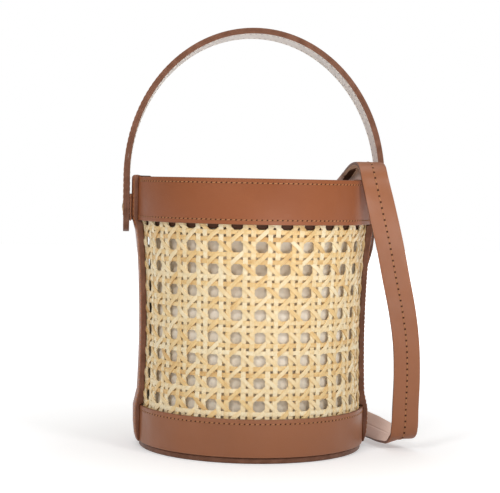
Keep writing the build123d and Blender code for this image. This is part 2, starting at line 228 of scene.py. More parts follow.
def material(name, base, roughness, **sockets):
    """A material whose shader's own sockets hold what is the same all over."""
    made = bpy.data.materials.new(name)
    made.use_nodes = True
    shader = shader_of(made)
    shader.inputs["Base Color"].default_value = (*base, 1)
    shader.inputs["Roughness"].default_value = roughness
    for socket, value in sockets.items():
        shader.inputs[socket.replace("_", " ")].default_value = value
    return made


def node(made, kind, **values):
    """A new node; settings go on the node and the rest on its inputs."""
    new = made.node_tree.nodes.new(kind)
    for key, value in values.items():
        if hasattr(new, key):
            setattr(new, key, value)
        else:
            new.inputs[key.replace("_", " ")].default_value = value
    return new


def link(made, start, end):
    made.node_tree.links.new(start, end)


def object_coords(made, stretch=(1, 1, 1)):
    coords = node(made, "ShaderNodeTexCoord")
    mapping = node(made, "ShaderNodeMapping", Scale=stretch)
    link(made, coords.outputs["Object"], mapping.inputs["Vector"])
    return mapping.outputs["Vector"]


def noise_of(made, vector, scale, detail=3.0, roughness=0.5):
    texture = node(made, "ShaderNodeTexNoise", Scale=scale, Detail=detail, Roughness=roughness)
    link(made, vector, texture.inputs["Vector"])
    return texture.outputs["Fac"]


def ramp(made, factor, stops):
    """Colour ramp from (position, colour) stops."""
    new = node(made, "ShaderNodeValToRGB")
    elements = new.color_ramp.elements
    while len(elements) < len(stops):
        elements.new(0.5)
    for element, (position, colour) in zip(elements, stops):
        element.position = position
        element.color = (*colour, 1)
    link(made, factor, new.inputs["Fac"])
    return new.outputs["Color"]


def spread(made, factor, low, high, start=0.3, end=0.7):
    """Stretches a factor from start..end to low..high."""
    new = node(made, "ShaderNodeMapRange", clamp=True)
    for index, value in enumerate((start, end, low, high), start=1):
        new.inputs[index].default_value = value
    link(made, factor, new.inputs[0])
    return new.outputs[0]


def bump(made, height, strength, distance, after=None):
    new = node(made, "ShaderNodeBump", Strength=strength, Distance=distance)
    link(made, height, new.inputs["Height"])
    if after is not None:
        link(made, after, new.inputs["Normal"])
    return new.outputs["Normal"]


def shader_of(made):
    return made.node_tree.nodes["Principled BSDF"]


def feed(made, output, socket):
    """Links an output to one of the shader's own sockets."""
    link(made, output, shader_of(made).inputs[socket])


def darkened(colour, share):
    return tuple(part * share for part in colour)


def paled(colour, share, lift=0.0):
    return tuple(min(1, part * share + lift) for part in colour)


def leather(name, light, deep, roughness=0.42, grain=0.25, gloss=0.32):
    """Smooth dyed leather: clouded colour, fine pores and faint creases."""
    made = material(name, light, roughness, Specular_IOR_Level=gloss)
    here = object_coords(made)
    clouds = spread(made, noise_of(made, here, 14, detail=3), 0, 1)
    feed(made, ramp(made, clouds, [(0, deep), (0.55, light), (1, light)]), "Base Color")
    rubbed = noise_of(made, here, 70, detail=3)
    feed(made, spread(made, rubbed, roughness - 0.06, roughness + 0.08), "Roughness")
    pores = node(made, "ShaderNodeTexVoronoi", Scale=1150.0, feature="F1")
    link(made, here, pores.inputs["Vector"])
    grained = bump(made, pores.outputs["Distance"], grain, 0.18 * MM)
    creases = noise_of(made, here, 210, detail=5, roughness=0.6)
    feed(made, bump(made, creases, 0.16, 0.6 * MM, after=grained), "Normal")
    return made


def edge_paint():
    """Painted edges, a little worn and uneven."""
    paint_colour = sizes("colours").edge
    made = material("edge_paint", paint_colour, 0.42, Specular_IOR_Level=0.25)
    here = object_coords(made)
    wear = noise_of(made, here, 160, detail=4)
    worn = paled(paint_colour, 1.4, lift=0.02)
    feed(made, ramp(made, wear, [(0.35, paint_colour), (0.75, worn)]), "Base Color")
    feed(made, bump(made, noise_of(made, here, 420, detail=3), 0.3, 0.4 * MM), "Normal")
    return made


def thread_finish(name, colour):
    """Dull waxed thread, or the painted shade of a needle hole."""
    made = material(name, colour, 0.7, Specular_IOR_Level=0.2)
    plies = noise_of(made, object_coords(made), 900, detail=2)
    feed(made, ramp(made, plies, [(0.35, colour), (0.7, paled(colour, 1.35))]), "Base Color")
    return made


def cane_finish():
    """Split cane: glossy skin with fine fibres along each strand, and strands that differ in tone."""
    colours = sizes("colours")
    made = material("split_cane", colours.cane_light, 0.38, Specular_IOR_Level=0.5)
    along = node(made, "ShaderNodeUVMap", uv_map="strand")
    fibres = node(made, "ShaderNodeMapping", Scale=(60, 2600, 1))
    link(made, along.outputs["UV"], fibres.inputs["Vector"])
    lines = noise_of(made, fibres.outputs["Vector"], 1.0, detail=3, roughness=0.6)
    blotch = node(made, "ShaderNodeMapping", Scale=(75, 150, 1))
    link(made, along.outputs["UV"], blotch.inputs["Vector"])
    patches = noise_of(made, blotch.outputs["Vector"], 1.0, detail=3)
    own = node(made, "ShaderNodeUVMap", uv_map="tone")
    tone = node(made, "ShaderNodeSeparateXYZ")
    link(made, own.outputs["UV"], tone.inputs["Vector"])
    total = None
    for share, factor in ((0.4, tone.outputs["X"]), (0.45, patches), (0.25, lines)):
        add = node(made, "ShaderNodeMath", operation="MULTIPLY_ADD")
        link(made, factor, add.inputs[0])
        add.inputs[1].default_value = share
        add.inputs[2].default_value = 0.0
        if total is not None:
            link(made, total, add.inputs[2])
        total = add.outputs[0]
    tones = [(0.26, colours.cane_deep), (0.44, colours.cane_gold), (0.70, colours.cane_light)]
    feed(made, ramp(made, total, tones), "Base Color")
    feed(made, bump(made, lines, 0.3, 0.4 * MM), "Normal")
    return made


def cloth_finish(name, colour):
    """Plain woven cloth, softly clouded."""
    made = material(name, colour, 0.85, Sheen_Weight=0.25, Sheen_Roughness=0.6)
    darker = (colour[0] * 0.86, colour[1] * 0.83, colour[2] * 0.77)
    clouds = noise_of(made, object_coords(made), 40, detail=4)
    feed(made, ramp(made, clouds, [(0.3, darker), (0.65, colour)]), "Base Color")
    threads = noise_of(made, object_coords(made, (1, 1, 0.25)), 2300, detail=2)
    feed(made, bump(made, threads, 0.35, 0.3 * MM), "Normal")
    return made


def metal_finish():
    """Aged metal, unevenly polished."""
    made = material("aged_metal", sizes("colours").metal, 0.34, Metallic=1.0)
    rubbed = noise_of(made, object_coords(made), 500, detail=3)
    feed(made, spread(made, rubbed, 0.24, 0.5), "Roughness")
    return made


def finish_named(name):
    """The material of that name, made on first use."""
    found = bpy.data.materials.get(name)
    if found is not None:
        return found
    colours = sizes("colours")
    makers = {
        "tan_leather": lambda: leather(name, colours.leather, colours.leather_deep),
        # Tan leather lightened with painted sheen and bounce light
        "sheen_painted_leather": lambda: leather(
            name, colours.leather_painted_sheen, darkened(colours.leather_painted_sheen, 0.9), roughness=0.4, gloss=0.45
        ),
        "reverse_leather": lambda: leather(
            name, colours.reverse, darkened(colours.reverse, 0.85), roughness=0.6, grain=0.4
        ),
        "edge_paint": edge_paint,
        # Pale reverse lightened with painted bounce light, for the handle's underside
        "underside_painted_light": lambda: leather(
            name, colours.underside, darkened(colours.underside, 0.9), roughness=0.6, grain=0.4
        ),
        "leather_painted_shade": lambda: leather(name, colours.shade, colours.shade, roughness=0.7, grain=0.4),
        "thread": lambda: thread_finish(name, colours.thread),
        "pale_thread": lambda: thread_finish(name, colours.pale_thread),
        "needle_hole_painted_shade": lambda: thread_finish(name, colours.hole),
        "split_cane": cane_finish,
        "lining_cloth": lambda: cloth_finish(name, colours.lining),
        "fibre_board": lambda: cloth_finish(name, darkened(colours.lining, 0.4)),
        "aged_metal": metal_finish,
    }
    return makers[name]()


# Mesh helpers

def piece(name, bm, finishes, body, slot, replaces=()):
    """Turns a bmesh into an object at the origin that rides on a body."""
    mesh = bpy.data.meshes.new(name)
    bm.to_mesh(mesh)
    bm.free()
    made = bpy.data.objects.new(name, mesh)
    bpy.context.scene.collection.objects.link(made)
    for finish in finishes:
        mesh.materials.append(finish_named(finish))
    mesh.polygons.foreach_set("use_smooth", [True] * len(mesh.polygons))
    mesh.set_sharp_from_angle(angle=math.radians(40))
    sharpen_open_edges(mesh)
    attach(made, body)
    if replaces:
        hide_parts(*replaces)
    return made


def sharpen_open_edges(mesh):
    """Keeps the rim of a surface crisp once it has a thickness."""
    uses = Counter(key for polygon in mesh.polygons for key in polygon.edge_keys)
    for edge in mesh.edges:
        if uses[edge.key] == 1:
            edge.use_edge_sharp = True


def polar(angle, radius, z):
    return Vector((radius * math.cos(angle), radius * math.sin(angle), z))


def rounded(corners, radius, steps=3):
    """Points of a closed outline in (radius, z) with its convex corners rounded."""
    points = []
    count = len(corners)
    for index, corner in enumerate(corners):
        here = Vector(corner)
        before = Vector(corners[index - 1]) - here
        after = Vector(corners[(index + 1) % count]) - here
        reach = min(radius, before.length * 0.45, after.length * 0.45)
        start = here + before.normalized() * reach
        end = here + after.normalized() * reach
        for step in range(steps + 1):
            t = step / steps
            points.append(start * (1 - t) ** 2 + here * 2 * t * (1 - t) + end * t**2)
    return points


def spun(outline, start, sweep, steps):
    """Bmesh of a section outline turned about the axis from a start angle."""
    bm = bmesh.new()
    face = bm.faces.new([bm.verts.new(polar(start, point[0], point[1])) for point in outline])
    full = sweep > math.radians(359)
    bmesh.ops.spin(
        bm, geom=[face, *face.edges, *face.verts], cent=(0, 0, 0), axis=(0, 0, 1),
        angle=sweep, steps=steps, use_merge=full, use_duplicate=False,
    )
    if full:
        bmesh.ops.remove_doubles(bm, verts=bm.verts, dist=1e-6)
        inside = [f for f in bm.faces if len(f.verts) > 4]
        bmesh.ops.delete(bm, geom=inside, context="FACES_ONLY")
    bmesh.ops.recalc_face_normals(bm, faces=bm.faces)
    return bm


def paint(bm, test, index):
    """Gives the faces whose middle passes a test the material at an index."""
    for face in bm.faces:
        if test(face.calc_center_median()):
            face.material_index = index


def finish_edges(made, width):
    bevel = made.modifiers.new("edges", "BEVEL")
    bevel.width = width
    bevel.segments = 2
    bevel.limit_method = "ANGLE"
    bevel.angle_limit = math.radians(50)
    bevel.harden_normals = False


def warped_grid(bm, along, across, place, maps=()):
    """A grid whose corners run from 0 to 1 both ways, put in place by a function of both shares."""
    made = bmesh.ops.create_grid(bm, x_segments=along, y_segments=across, size=0.5)["verts"]
    shares = {vert: (vert.co.x + 0.5, vert.co.y + 0.5) for vert in made}
    for uv_layer, uv_of in maps:
        for vert, (u, v) in shares.items():
            for loop in vert.link_loops:
                loop[uv_layer].uv = uv_of(u, v)
    for vert, (u, v) in shares.items():
        vert.co = place(u, v)
    return made


def thicken(made, thickness):
    shell = made.modifiers.new("thickness", "SOLIDIFY")
    shell.thickness = thickness
    shell.offset = -1
    return shell


def bead(bm, where, along, face, half_size, material_index=0):
    """A six-sided bead along a direction, with half its length, width and height."""
    side = face.cross(along).normalized()
    turn = Matrix((along, side, face)).transposed().to_4x4()
    shape = Matrix.Diagonal((*half_size, 1))
    made = bmesh.ops.create_uvsphere(
        bm, u_segments=6, v_segments=5, radius=1,
        matrix=Matrix.Translation(where) @ turn @ shape @ Matrix.Rotation(math.pi / 2, 4, "Y"),
    )
    for vert in made["verts"]:
        for linked in vert.link_faces:
            linked.material_index = material_index


def pour(batch, bm):
    """Adds a small bmesh to a large one, because an operator slows down as its bmesh grows."""
    mesh = bpy.data.meshes.new("batch")
    batch.to_mesh(mesh)
    batch.free()
    bm.from_mesh(mesh)
    bpy.data.meshes.remove(mesh)


def stitch_row(bm, place, total, pitch, look, closed=False):
    """Stitches along a line: place(length) gives a point, its direction and its outward face."""
    radius, slant, hole_length, hole_width = look
    batch_size = 12
    count = max(2, round(total / pitch))
    step = total / count
    stitch = (step * 0.4, radius, radius * 0.8)
    # Each needle hole is a flat dark bead: painted shade in place of a recess
    hole = (hole_length / 2, hole_width / 2, 0.05 * MM)
    batch = bmesh.new()
    for index in range(count if closed else count - 1):
        start = step * (index + (0 if closed else 0.5))
        where, along, face = place(start + step / 2)
        turned = Matrix.Rotation(slant, 3, face) @ along
        bead(batch, where + face * radius * 0.3, turned, face, stitch)
        where, along, face = place(start)
        turned = Matrix.Rotation(slant, 3, face) @ along
        bead(batch, where, turned, face, hole, 1)
        if index % batch_size == batch_size - 1:
            pour(batch, bm)
            batch = bmesh.new()
    pour(batch, bm)


# The woven wall

def cane_radius(z):
    cane = sizes("cane")
    rise = (z - cane.waist_z) / (cane.high - cane.waist_z)
    return cane.waist_r + (cane.top_r - cane.waist_r) * rise**2


def cane_place(column, row, offset):
    """Point of the front panel at a column and row counted from its middle and its lowest row."""
    cane = sizes("cane")
    angle = cane.shift - math.pi / 2 + column * math.tau / cane.columns
    z = cane.first_row + row * cane.row_pitch
    return polar(angle, cane_radius(z) - cane.inset + offset, z)


def strand(bm, start, end, height, width, tone):
    """One strand of the front panel between two places in columns and rows, bent by a height function."""
    cane = sizes("cane")
    # A number of the strand's own, so that no two strands drift alike
    seed = start[0] * 7.3 + start[1] * 3.7 + end[1]
    begin, finish = Vector(start), Vector(end)
    run = finish - begin
    column_pitch = math.tau / cane.columns * cane.waist_r
    real = Vector((run.x * column_pitch, run.y * cane.row_pitch))
    sideways = Vector((-real.y, real.x)).normalized()
    to_grid = Vector((1 / column_pitch, 1 / cane.row_pitch))
    segments = max(8, round(real.length / cane.bend))
    bends = {}

    def bend(u):
        if u not in bends:
            here = begin + run * u
            drift = noise.noise(Vector((here.x * 0.7, here.y * 0.7, seed))) * cane.wander * 2
            own_width = width * (1 + 0.12 * noise.noise(Vector((seed, u * real.length * 60, 0.5))))
            bends[u] = (here, drift, own_width, height(here.x, here.y))
        return bends[u]

    def place(u, v):
        here, drift, own_width, lift = bend(u)
        shifted = sideways * ((v - 0.5) * own_width + drift)
        crown = cane.crown * (1 - (2 * v - 1) ** 2)
        return cane_place(here.x + shifted.x * to_grid.x, here.y + shifted.y * to_grid.y, lift + crown)

    def strand_uv(u, v):
        return u * real.length + seed * 0.37, v * width + seed * 0.031

    maps = (
        (bm.loops.layers.uv["strand"], strand_uv),
        (bm.loops.layers.uv["tone"], lambda u, v: (tone, seed)),
    )
    warped_grid(bm, segments, 3, place, maps)


def clipped(start, direction, low, high, shortest=0.6):
    """Ends of the line from start along direction within a box, or None where little of it is left."""
    first, last = -math.inf, math.inf
    for axis in (0, 1):
        near = (low[axis] - start[axis]) / direction[axis]
        far = (high[axis] - start[axis]) / direction[axis]
        first, last = max(first, min(near, far)), min(last, max(near, far))
    if last - first < shortest:
        return None
    return [(start[0] + direction[0] * at, start[1] + direction[1] * at) for at in (first, last)]


def cane_limits():
    """Lowest and highest (column, row) that a panel's strands reach."""
    cane = sizes("cane")
    half = cane.reach / (math.tau / cane.columns)
    low = (cane.low - cane.first_row) / cane.row_pitch
    high = (cane.high - cane.first_row) / cane.row_pitch
    return (-half, low), (half, high)


def strand_mesh():
    bm = bmesh.new()
    bm.loops.layers.uv.new("strand")
    bm.loops.layers.uv.new("tone")
    return bm


def paired_strands(upright):
    """All uprights or all hoops of a panel."""
    cane = sizes("cane")
    width, spacing = (cane.upright, cane.upright_pair) if upright else (cane.hoop, cane.hoop_pair)
    (left, low), (right, high) = cane_limits()
    column_pitch = math.tau / cane.columns * cane.waist_r
    spacing = spacing / 2 / (column_pitch if upright else cane.row_pitch)
    ends = (left, right) if upright else (low, high)
    tones = random.Random(5 if upright else 8)
    bm = strand_mesh()
    for index in range(math.floor(ends[0]) - 1, math.ceil(ends[1]) + 1):
        for sign in (-1, 1):
            at = index + 0.5 + sign * spacing
            if not ends[0] < at < ends[1]:
                continue
            if upright:
                def height(column, row, sign=sign):
                    return cane.weave * sign * math.sin(4 * math.pi * row)
                strand(bm, (at, low), (at, high), height, width, tones.uniform(0.35, 1.0))
            else:
                def height(column, row, sign=sign):
                    return -cane.weave * sign * math.sin(4 * math.pi * column)
                strand(bm, (left, at), (right, at), height, width, tones.uniform(0.0, 0.85))
    return bm


def diagonal_strands(slope):
    """All diagonals of one slope: falling ones lie over the uprights and under the hoops."""
    cane = sizes("cane")
    low, high = cane_limits()
    tones = random.Random(13 + slope)
    bm = strand_mesh()
    reach = math.ceil(high[0] + high[1]) + 2

    def height(column, row):
        return slope * cane.weave_diagonal * math.cos(math.tau * column)

    for index in range(-reach, reach + 1):
        ends = clipped((0.0, index + 0.5), (1.0, float(slope)), low, high)
        if ends is not None:
            strand(bm, ends[0], ends[1], height, cane.diagonal, tones.uniform(0.05, 0.85))
    return bm


# The handle and the strap: flat ribbons that follow a line of frames

def smooth_line(points, faces, steps):
    """Closely spaced (point, face) along a smooth curve through the stations."""
    last = len(points) - 1
    dense = []
    for index in range(last):
        a, b = points[max(index - 1, 0)], points[index]
        c, d = points[index + 1], points[min(index + 2, last)]
        for step in range(steps):
            t = step / steps
            square = (a * 2 - b * 5 + c * 4 - d) * t**2
            cube = (b * 3 - a - c * 3 + d) * t**3
            here = (b * 2 + (c - a) * t + square + cube) / 2
            dense.append((here, faces[index].lerp(faces[index + 1], eased(t))))
    dense.append((points[last], faces[last]))
    return dense


def eased(share):
    """A smooth step from 0 to 1."""
    share = min(max(share, 0.0), 1.0)
    return share * share * (3 - 2 * share)


class Line:
    """A line of frames that can be read at any length along it."""

    def __init__(self, dense):
        self.dense = dense
        self.at = [0.0]
        for (before, _), (here, _) in zip(dense, dense[1:]):
            self.at.append(self.at[-1] + (here - before).length)
        self.length = self.at[-1]

    def read(self, length):
        """Point, direction along, direction across and outward face at a length."""
        length = min(max(length, 0.0), self.length)
        low = min(bisect_right(self.at, length) - 1, len(self.at) - 2)
        high = low + 1
        span = max(self.at[high] - self.at[low], 1e-9)
        share = (length - self.at[low]) / span
        point = self.dense[low][0].lerp(self.dense[high][0], share)
        face = self.dense[low][1].lerp(self.dense[high][1], share)
        before = self.dense[max(low - 1, 0)][0]
        after = self.dense[min(high + 1, len(self.dense) - 1)][0]
        along = (after - before).normalized()
        across = face.cross(along).normalized()
        return point, along, across, along.cross(across).normalized()


def round_ended(bm, line, width, along, across_steps):
    """The outer surface of a ribbon with round ends."""
    radius = width / 2

    def place(u, v):
        crowded = 0.5 - 0.5 * math.cos(math.pi * u)
        length = (crowded * 0.35 + u * 0.65) * line.length
        end = min(length, line.length - length)
        half = radius
        if end < radius:
            half = max(0.02 * radius, math.sqrt(max(0.0, radius**2 - (radius - end) ** 2)))
        point, _, across, _ = line.read(length)
        return point + across * (2 * v - 1) * half

    uv_layer = bm.loops.layers.uv.new("strand")
    warped_grid(bm, along, across_steps, place, [(uv_layer, lambda u, v: (u * line.length, v * width))])
    bmesh.ops.recalc_face_normals(bm, faces=bm.faces)


def face_outwards(bm, line):
    """Flips the surface where its middle face looks against the line's outward face."""
    bm.faces.ensure_lookup_table()
    sample = bm.faces[len(bm.faces) // 2]
    centre = sample.calc_center_median()
    lengths = [line.length * step / 400 for step in range(401)]
    nearest = min(lengths, key=lambda length: (line.read(length)[0] - centre).length)
    if sample.normal.dot(line.read(nearest)[3]) < 0:
        bmesh.ops.reverse_faces(bm, faces=bm.faces)


def handle_line(inset):
    """Frames of the handle's ply whose outer face is inset from the handle's own."""
    handle = sizes("handle")
    radius = HANDLE_X - inset
    rise = handle.rise - inset
    shoulder = RIM_Z - RIVET_Z
    foot = -(handle.width / 2 + handle.tail)
    lean_up = Vector((0, math.sin(handle.lean), math.cos(handle.lean)))
    pivot = Vector((0, 0, RIVET_Z))
    dense = []

    def add(x, up, out_x, out_up):
        dense.append((pivot + Vector((x, 0, 0)) + lean_up * up, Vector((out_x, 0, 0)) + lean_up * out_up))

    leg_steps = 24
    arc_steps = 120
    for step in range(leg_steps):
        add(-radius, foot + (shoulder - foot) * step / leg_steps, -1, 0)
    for step in range(arc_steps + 1):
        angle = math.pi * (1 - step / arc_steps)
        x, up = radius * math.cos(angle), rise * math.sin(angle)
        out = Vector((x / radius**2, up / rise**2)).normalized()
        add(x, shoulder + up, out.x, out.y)
    for step in range(1, leg_steps + 1):
        add(radius, shoulder + (foot - shoulder) * step / leg_steps, 1, 0)
    return Line(dense)


def on_drum(angle, radius, z, tilt=0.0):
    """Station on the outside of the bag, in millimetres, with its face tilted up from level by tilt."""
    turned = math.radians(angle)
    up = math.radians(tilt)
    out = (math.cos(turned), math.sin(turned))
    point = (radius * out[0], radius * out[1], z)
    return point, (math.cos(up) * out[0], math.cos(up) * out[1], math.sin(up))


# Stations of the strap in millimetres: a point on its middle and the way its outer face looks.
# The strap turns over the rim at station STRAP_TURN, and its seam gapes there.
# FACE_X is how far from the axis the strap's middle lies at the rivets.
FACE_X = 84.15
PIN_Z = RIVET_Z / MM
FRONT = (-0.096, -0.995, 0.0)
FRONT_LOW = (0.09, -0.995, 0.0)
STRAP_TURN = 14
ROUTE_STEPS = 10
STRAP_ROUTE = [
    ((-FACE_X, -9.3, PIN_Z), (-1, 0, 0)),
    ((-FACE_X, 0.0, PIN_Z), (-1, 0, 0)),
    ((-FACE_X, 10.0, PIN_Z), (-1, 0.03, 0)),
    on_drum(168.5, 85.1, PIN_Z),
    on_drum(157, 83.5, 161.4),
    on_drum(145, 82.6, 161.6),
    on_drum(130, 82.6, 162.2),
    on_drum(110, 82.6, 162.6),
    on_drum(90, 82.7, 163.2),
    on_drum(72, 82.8, 164.0),
    on_drum(58, 83.0, 165.2),
    on_drum(46.5, 83.9, 167.8, 4),
    on_drum(37.5, 85.0, 172.8, 18),
    on_drum(29.5, 84.4, 180.8, 46),
    ((74.5, 26.5, 186.4), (0.12, 0.15, 1)),
    ((74.3, 8.0, 190.8), (0, 0, 1)),
    ((74.1, -11.0, 193.2), (0, 0, 1)),
    ((74.0, -28.5, 193.6), (0, -0.12, 1)),
    ((74.1, -41.0, 191.0), (0.03, -0.6, 0.8)),
    ((75.2, -48.4, 181.5), (0.1, -1, 0.24)),
    ((80.4, -49.0, 161.0), (-0.02, -1, 0.0)),
    ((86.1, -46.2, 140.0), FRONT),
    ((91.5, -42.2, 118.0), FRONT),
    ((96.8, -38.8, 96.0), (0.0, -1, 0.0)),
    ((100.6, -35.4, 74.5), FRONT_LOW),
    ((102.3, -32.2, 52.5), FRONT_LOW),
    ((102.4, -29.8, 31.0), FRONT_LOW),
    ((102.4, -28.4, 16.4), (0.02, -1, -0.12)),
    ((101.6, -24.6, 9.4), (0.15, -0.72, -0.7)),
    ((98.6, -15.6, 7.4), (0.38, -0.05, -0.95)),
    ((92.6, 1.0, 8.6), (0.52, 0.15, -0.83)),
    ((86.0, 21.5, 10.0), (0.66, 0.27, -0.70)),
    ((79.0, 41.5, 10.4), (0.76, 0.4, -0.5)),
    ((67.5, 61.0, 10.4), (0.72, 0.65, -0.25)),
    ((50.0, 79.0, 10.5), (0.55, 0.83, -0.05)),
    ((28.0, 92.0, 10.6), (0.35, 0.94, 0)),
    ((6.0, 98.6, 10.6), (0.12, 0.99, 0)),
    ((-8.0, 98.0, 10.6), (-0.45, 0.9, 0)),
    ((-13.2, 90.5, 10.6), (-1, 0, 0)),
    ((-8.4, 83.4, 10.8), (-0.45, -0.9, 0)),
    ((4.0, 80.6, 12.0), (0, -1, 0)),
    ((20.0, 78.0, 19.0), (-0.26, -0.97, 0)),
    ((36.0, 72.2, 33.5), (-0.45, -0.89, 0)),
    ((51.0, 63.2, 54.0), (-0.63, -0.78, 0)),
    ((64.0, 51.5, 79.0), (-0.78, -0.63, 0)),
    ((74.6, 37.6, 107.0), (-0.89, -0.45, 0)),
    ((81.6, 22.8, 133.0), (-0.97, -0.22, 0)),
    ((FACE_X - 0.1, 9.6, 151.0), (-1, -0.02, 0)),
    ((FACE_X, 0.0, PIN_Z), (-1, 0, 0)),
    ((FACE_X, -5.2, 167.0), (-1, 0, 0)),
]


def strap_line():
    points = [Vector(point) * MM for point, _ in STRAP_ROUTE]
    faces = [Vector(face).normalized() for _, face in STRAP_ROUTE]
    return Line(smooth_line(points, faces, ROUTE_STEPS))


# Name, place, size, power and target of each lamp
LAMPS = (
    ("key_left", (-0.95, -1.35, 1.15), 0.4, 8.8, (0.0, 0.0, 0.12)),
    ("key_right", (1.05, -1.3, 1.15), 0.4, 8.8, (0.0, 0.0, 0.12)),
    ("top", (0.0, 0.2, 1.7), 1.2, 6.5, (0.0, 0.0, 0.12)),
    ("card", (0.17, -0.52, 0.015), 0.35, 2.0, (0.17, -0.52, 1.0)),
)


# Each side and the middle of its strip as an angle about the axis
SIDES = (("left", math.pi), ("right", 0.0))


# Operators: one for each piece or group of like pieces

class BARREL_OT_stage(bpy.types.Operator):
    """Make the floor, the lamps and the camera"""

    bl_idname = "barrel.stage"
    bl_label = "Stage"

    def execute(self, context):
        stage = sizes("stage")
        scene = context.scene
        scene.view_settings.view_transform = "Standard"
        bm = bmesh.new()
        bmesh.ops.create_grid(bm, x_segments=1, y_segments=1, size=3.0)
        mesh = bpy.data.meshes.new("floor")
        bm.to_mesh(mesh)
        bm.free()
        floor = bpy.data.objects.new("floor", mesh)
        scene.collection.objects.link(floor)
        mesh.materials.append(self.floor_finish())
        self.world(scene)
        for lamp in LAMPS:
            self.lamp(*lamp)
        self.camera(scene, stage)
        return {"FINISHED"}

    def floor_finish(self):
        """Pale floor that brightens away from the bag, as the camera and reflections see it."""
        made = material("pale_floor", (0.78, 0.78, 0.78), 0.9, Specular_IOR_Level=0.1)
        here = object_coords(made)
        greys = [(0.3, (0.77, 0.77, 0.77)), (0.7, (0.79, 0.79, 0.79))]
        feed(made, ramp(made, noise_of(made, here, 3, detail=2), greys), "Base Color")
        reach = node(made, "ShaderNodeVectorMath", operation="LENGTH")
        rays = node(made, "ShaderNodeLightPath")
        glow = node(made, "ShaderNodeEmission")
        none = node(made, "ShaderNodeEmission", Strength=0.0)
        either = node(made, "ShaderNodeMath", operation="MAXIMUM")
        seen = node(made, "ShaderNodeMixShader")
        both = node(made, "ShaderNodeAddShader")
        link(made, here, reach.inputs[0])
        brightness = spread(made, reach.outputs["Value"], 0.36, 1.1, start=0.12, end=0.8)
        surface = made.node_tree.nodes["Material Output"].inputs["Surface"]
        for start, end in (
            (brightness, glow.inputs["Strength"]),
            (rays.outputs["Is Camera Ray"], either.inputs[0]),
            (rays.outputs["Is Glossy Ray"], either.inputs[1]),
            (either.outputs[0], seen.inputs[0]),
            (none.outputs[0], seen.inputs[1]),
            (glow.outputs[0], seen.inputs[2]),
            (shader_of(made).outputs[0], both.inputs[0]),
            (seen.outputs[0], both.inputs[1]),
            (both.outputs[0], surface),
        ):
            link(made, start, end)
        return made

    def world(self, scene):
        world = bpy.data.worlds.new("studio")
        scene.world = world
        world.use_nodes = True
        tree = world.node_tree
        light = tree.nodes["Background"]
        light.inputs["Color"].default_value = (1, 1, 1, 1)
        light.inputs["Strength"].default_value = 0.42
        white = tree.nodes.new("ShaderNodeBackground")
        white.inputs["Color"].default_value = (1, 1, 1, 1)
        white.inputs["Strength"].default_value = 1.0
        rays = tree.nodes.new("ShaderNodeLightPath")
        mix = tree.nodes.new("ShaderNodeMixShader")
        tree.links.new(rays.outputs["Is Camera Ray"], mix.inputs[0])
        tree.links.new(light.outputs[0], mix.inputs[1])
        tree.links.new(white.outputs[0], mix.inputs[2])
        tree.links.new(mix.outputs[0], tree.nodes["World Output"].inputs["Surface"])

    def lamp(self, name, place, size, power, target):
        data = bpy.data.lights.new(name, "AREA")
        data.shape = "SQUARE"
        data.size = size
        data.energy = power
        lamp = bpy.data.objects.new(name, data)
        lamp.location = place
        aim = Vector(target) - Vector(place)
        lamp.rotation_euler = aim.to_track_quat("-Z", "Y").to_euler()
        bpy.context.scene.collection.objects.link(lamp)

    def camera(self, scene, stage):
        data = bpy.data.cameras.new("camera")
        data.lens = stage.lens
        data.sensor_width = 36
        data.clip_end = 20
        camera = bpy.data.objects.new("camera", data)
        scene.collection.objects.link(camera)
        back = Vector((-math.sin(stage.yaw), -math.cos(stage.yaw), 0))
        right = Vector((math.cos(stage.yaw), -math.sin(stage.yaw), 0))
        place = back * stage.distance + UP * stage.height + right * stage.aim_right
        aim = UP * stage.aim_z + right * stage.aim_right
        turn = (aim - place).to_track_quat("-Z", "Y").to_matrix() @ Matrix.Rotation(stage.roll, 3, "Z")
        camera.matrix_world = Matrix.Translation(place) @ turn.to_4x4()
        scene.camera = camera


class BARREL_OT_base(bpy.types.Operator):
    """Make the base disc with its painted edge"""

    bl_idname = "barrel.base"
    bl_label = "Base"

    def execute(self, context):
        hub = 0.5 * MM
        painted = BASE_R - 1.0 * MM
        corners = [(hub, 0.0), (BASE_R, 0.0), (BASE_R, BASE_TOP), (hub, BASE_TOP)]
        bm = spun(rounded(corners, sizes("body").base_round), 0.0, math.tau, 160)
        paint(bm, lambda middle: middle.xy.length > painted, 1)
        piece("base_leather", bm, ["tan_leather", "edge_paint"], "root", "leather", ["base_disc"])
        return {"FINISHED"}


class BARREL_OT_bands(bpy.types.Operator):
    """Make the two leather bands, each of two halves that butt under the side strips"""

    bl_idname = "barrel.bands"
    bl_label = "Bands"

    def execute(self, context):
        body = sizes("body")
        edge = body.edge_paint
        butt_gap = 0.001
        plans = (
            ("upper_band", UPPER_LOW, RIM_Z, UPPER_R, body.upper_t, "tan_leather"),
            # The lower band takes the tan with painted sheen and bounce light
            ("lower_band", LOWER_LOW, LOWER_TOP, LOWER_R, body.lower_t, "sheen_painted_leather"),
        )
        for name, low, high, outer, thick, finish in plans:
            inner = outer - thick
            corners = [(inner, low), (outer, low), (outer, high), (inner, high)]
            for side, start in (("front", math.pi), ("back", 0.0)):
                bm = spun(rounded(corners, body.edge_round), start, math.pi - butt_gap, 96)
                paint(bm, lambda middle: not low + edge < middle.z < high - edge, 1)
                piece(
                    f"{name}_leather_{side}", bm, [finish, "edge_paint"], "root", "leather",
                    [f"{name}_{side}"],
                )
        return {"FINISHED"}


